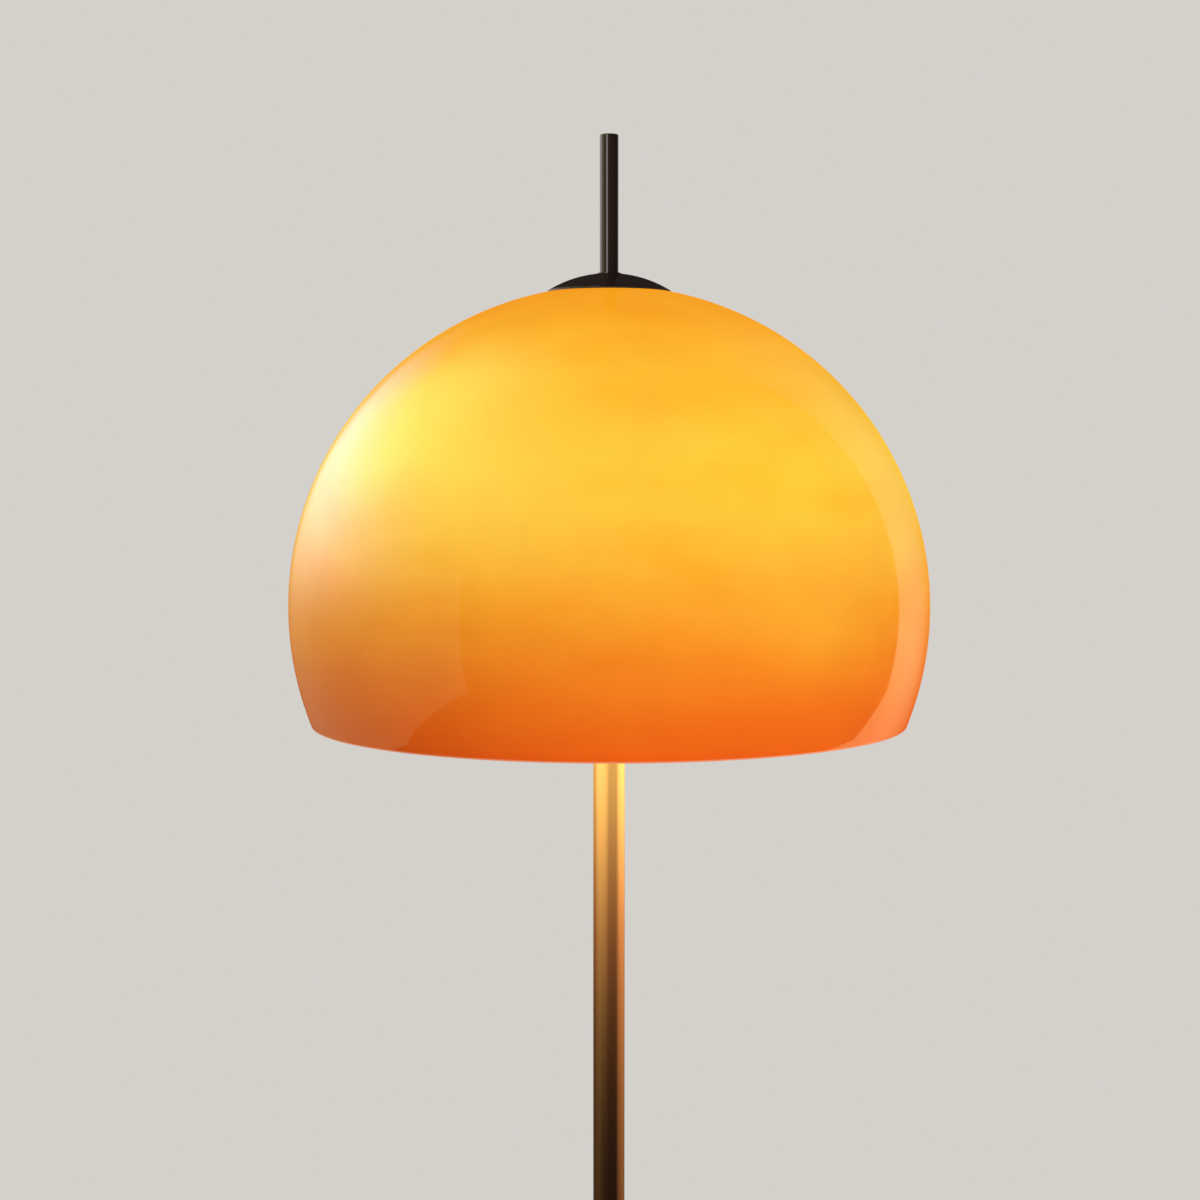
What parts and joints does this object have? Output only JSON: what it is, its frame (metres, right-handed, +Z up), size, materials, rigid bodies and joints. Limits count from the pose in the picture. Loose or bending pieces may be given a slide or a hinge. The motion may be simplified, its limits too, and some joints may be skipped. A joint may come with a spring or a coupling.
{
  "type": "floor lamp",
  "caption": "Mushroom floor lamp: domed translucent orange shade over a bulb cluster on a slim black pole, black cap and finial rod, weighted round base with a foot switch.",
  "frame": {"origin": "on the floor at the lamp's axis, the centre of the base's underside", "axes": "+Z up along the pole; +Y to the rear, where the cord goes in; +X to the right seen from the front"},
  "size_m": [0.3999, 0.3998, 1.55],
  "materials": {
    "shade_acrylic": "polished, translucent orange acrylic",
    "black_lacquer": "gloss black lacquer",
    "black_powder_coat": "satin black powder coat with a fine grain",
    "cast_iron": "as cast",
    "zinc_steel": "bright zinc plate",
    "white_lacquer": "white lacquer, reflects the light",
    "black_rubber": "matt",
    "black_plastic": "matt moulded",
    "cream_plastic": "matt moulded",
    "socket_ceramic": "unglazed white",
    "brass": "plain",
    "lead_sheath": "smooth PVC",
    "bulb_base": "rolled thread",
    "opal_glass": "opal white, satin"
  },
  "bodies": {
    "stand": {"arm_1": "zinc_steel", "arm_2": "zinc_steel", "arm_3": "zinc_steel", "arm_nuts": "zinc_steel", "base_cover": "black_powder_coat", "base_weight": "cast_iron", "collar_screw": "zinc_steel", "cord_inlet_grommet": "black_rubber", "earth_screw": "zinc_steel", "floor_pad": "black_rubber", "foot_switch_bezel": "black_plastic", "foot_switch_body": "black_plastic", "foot_switch_spring": "zinc_steel", "hub_base": "white_lacquer", "hub_screws": "zinc_steel", "hub_shell": "white_lacquer", "inner_lead": "lead_sheath", "pole_collar": "black_powder_coat", "pole_coupler": "zinc_steel", "pole_foot": "zinc_steel", "pole_foot_screws": "zinc_steel", "pole_lower": "black_powder_coat", "pole_upper": "black_powder_coat", "seat_gasket": "black_rubber", "seat_plate": "zinc_steel", "socket_cap_1": "black_plastic", "socket_cap_2": "black_plastic", "socket_cap_3": "black_plastic", "socket_core_1": "socket_ceramic", "socket_core_2": "socket_ceramic", "socket_core_3": "socket_ceramic", "socket_lead_1": "lead_sheath", "socket_lead_2": "lead_sheath", "socket_lead_3": "lead_sheath", "socket_liner_1": "brass", "socket_liner_2": "brass", "socket_liner_3": "brass", "socket_shell_1": "black_plastic", "socket_shell_2": "black_plastic", "socket_shell_3": "black_plastic", "stem_nuts": "zinc_steel", "stem_rod": "zinc_steel", "stem_sleeve": "white_lacquer", "terminal_block": "cream_plastic", "terminal_fixings": "zinc_steel", "terminal_screws": "brass", "wire_splice": "cream_plastic"},
    "shade": {"shade": "shade_acrylic", "cap_gasket": "black_rubber", "top_cap": "black_lacquer"},
    "finial_washer": {"finial_washer": "black_lacquer"},
    "finial_rod": {"finial_rod": "black_lacquer"},
    "foot_switch_button": {"foot_switch_button": "black_plastic"},
    "bulb_1_screw": {"bulb_screw_1": "bulb_base"},
    "bulb_1_glass": {"bulb_glass_1": "opal_glass"},
    "bulb_2_screw": {"bulb_screw_2": "bulb_base"},
    "bulb_2_glass": {"bulb_glass_2": "opal_glass"},
    "bulb_3_screw": {"bulb_screw_3": "bulb_base"},
    "bulb_3_glass": {"bulb_glass_3": "opal_glass"}
  },
  "joints": [
    {"name": "shade_lift", "type": "slide", "parent": "stand", "child": "shade", "axis": [0, 0, 1], "range_m": [0, 0.31]},
    {"name": "finial_rise", "type": "slide", "parent": "shade", "child": "finial_washer", "axis": [0, 0, 1], "range_m": [0, 0.01438]},
    {"name": "finial_turn", "type": "hinge", "parent": "finial_washer", "child": "finial_rod", "pos_m": [0, 0, 1.4647], "axis": [0, 0, 1], "range_deg": [0, 4141]},
    {"name": "foot_switch_press", "type": "slide", "parent": "stand", "child": "foot_switch_button", "axis": [0, 0, -1], "range_m": [0, 0.004], "stiffness_N_per_m": 400, "springref_m": -0.004, "deforming": ["foot_switch_spring"]},
    {"name": "bulb_1_rise", "type": "slide", "parent": "stand", "child": "bulb_1_screw", "axis": [0, -0.6428, 0.766], "range_m": [0, 0.0236]},
    {"name": "bulb_1_turn", "type": "hinge", "parent": "bulb_1_screw", "child": "bulb_1_glass", "pos_m": [0, -0.02036, 1.24479], "axis": [0, -0.6428, 0.766], "range_deg": [0, 2341]},
    {"name": "bulb_2_rise", "type": "slide", "parent": "stand", "child": "bulb_2_screw", "axis": [0.5567, 0.3214, 0.766], "range_m": [0, 0.0236]},
    {"name": "bulb_2_turn", "type": "hinge", "parent": "bulb_2_screw", "child": "bulb_2_glass", "pos_m": [0.01763, 0.01018, 1.24479], "axis": [0.5567, 0.3214, 0.766], "range_deg": [0, 2341]},
    {"name": "bulb_3_rise", "type": "slide", "parent": "stand", "child": "bulb_3_screw", "axis": [-0.5567, 0.3214, 0.766], "range_m": [0, 0.0236]},
    {"name": "bulb_3_turn", "type": "hinge", "parent": "bulb_3_screw", "child": "bulb_3_glass", "pos_m": [-0.01763, 0.01018, 1.24479], "axis": [-0.5567, 0.3214, 0.766], "range_deg": [0, 2341]}
  ],
  "couplings": [
    {"joint": "finial_turn", "follows": "finial_rise", "rad_per_m": 5026.5},
    {"joint": "bulb_1_turn", "follows": "bulb_1_rise", "rad_per_m": 1730.9},
    {"joint": "bulb_2_turn", "follows": "bulb_2_rise", "rad_per_m": 1730.9},
    {"joint": "bulb_3_turn", "follows": "bulb_3_rise", "rad_per_m": 1730.9}
  ]
}
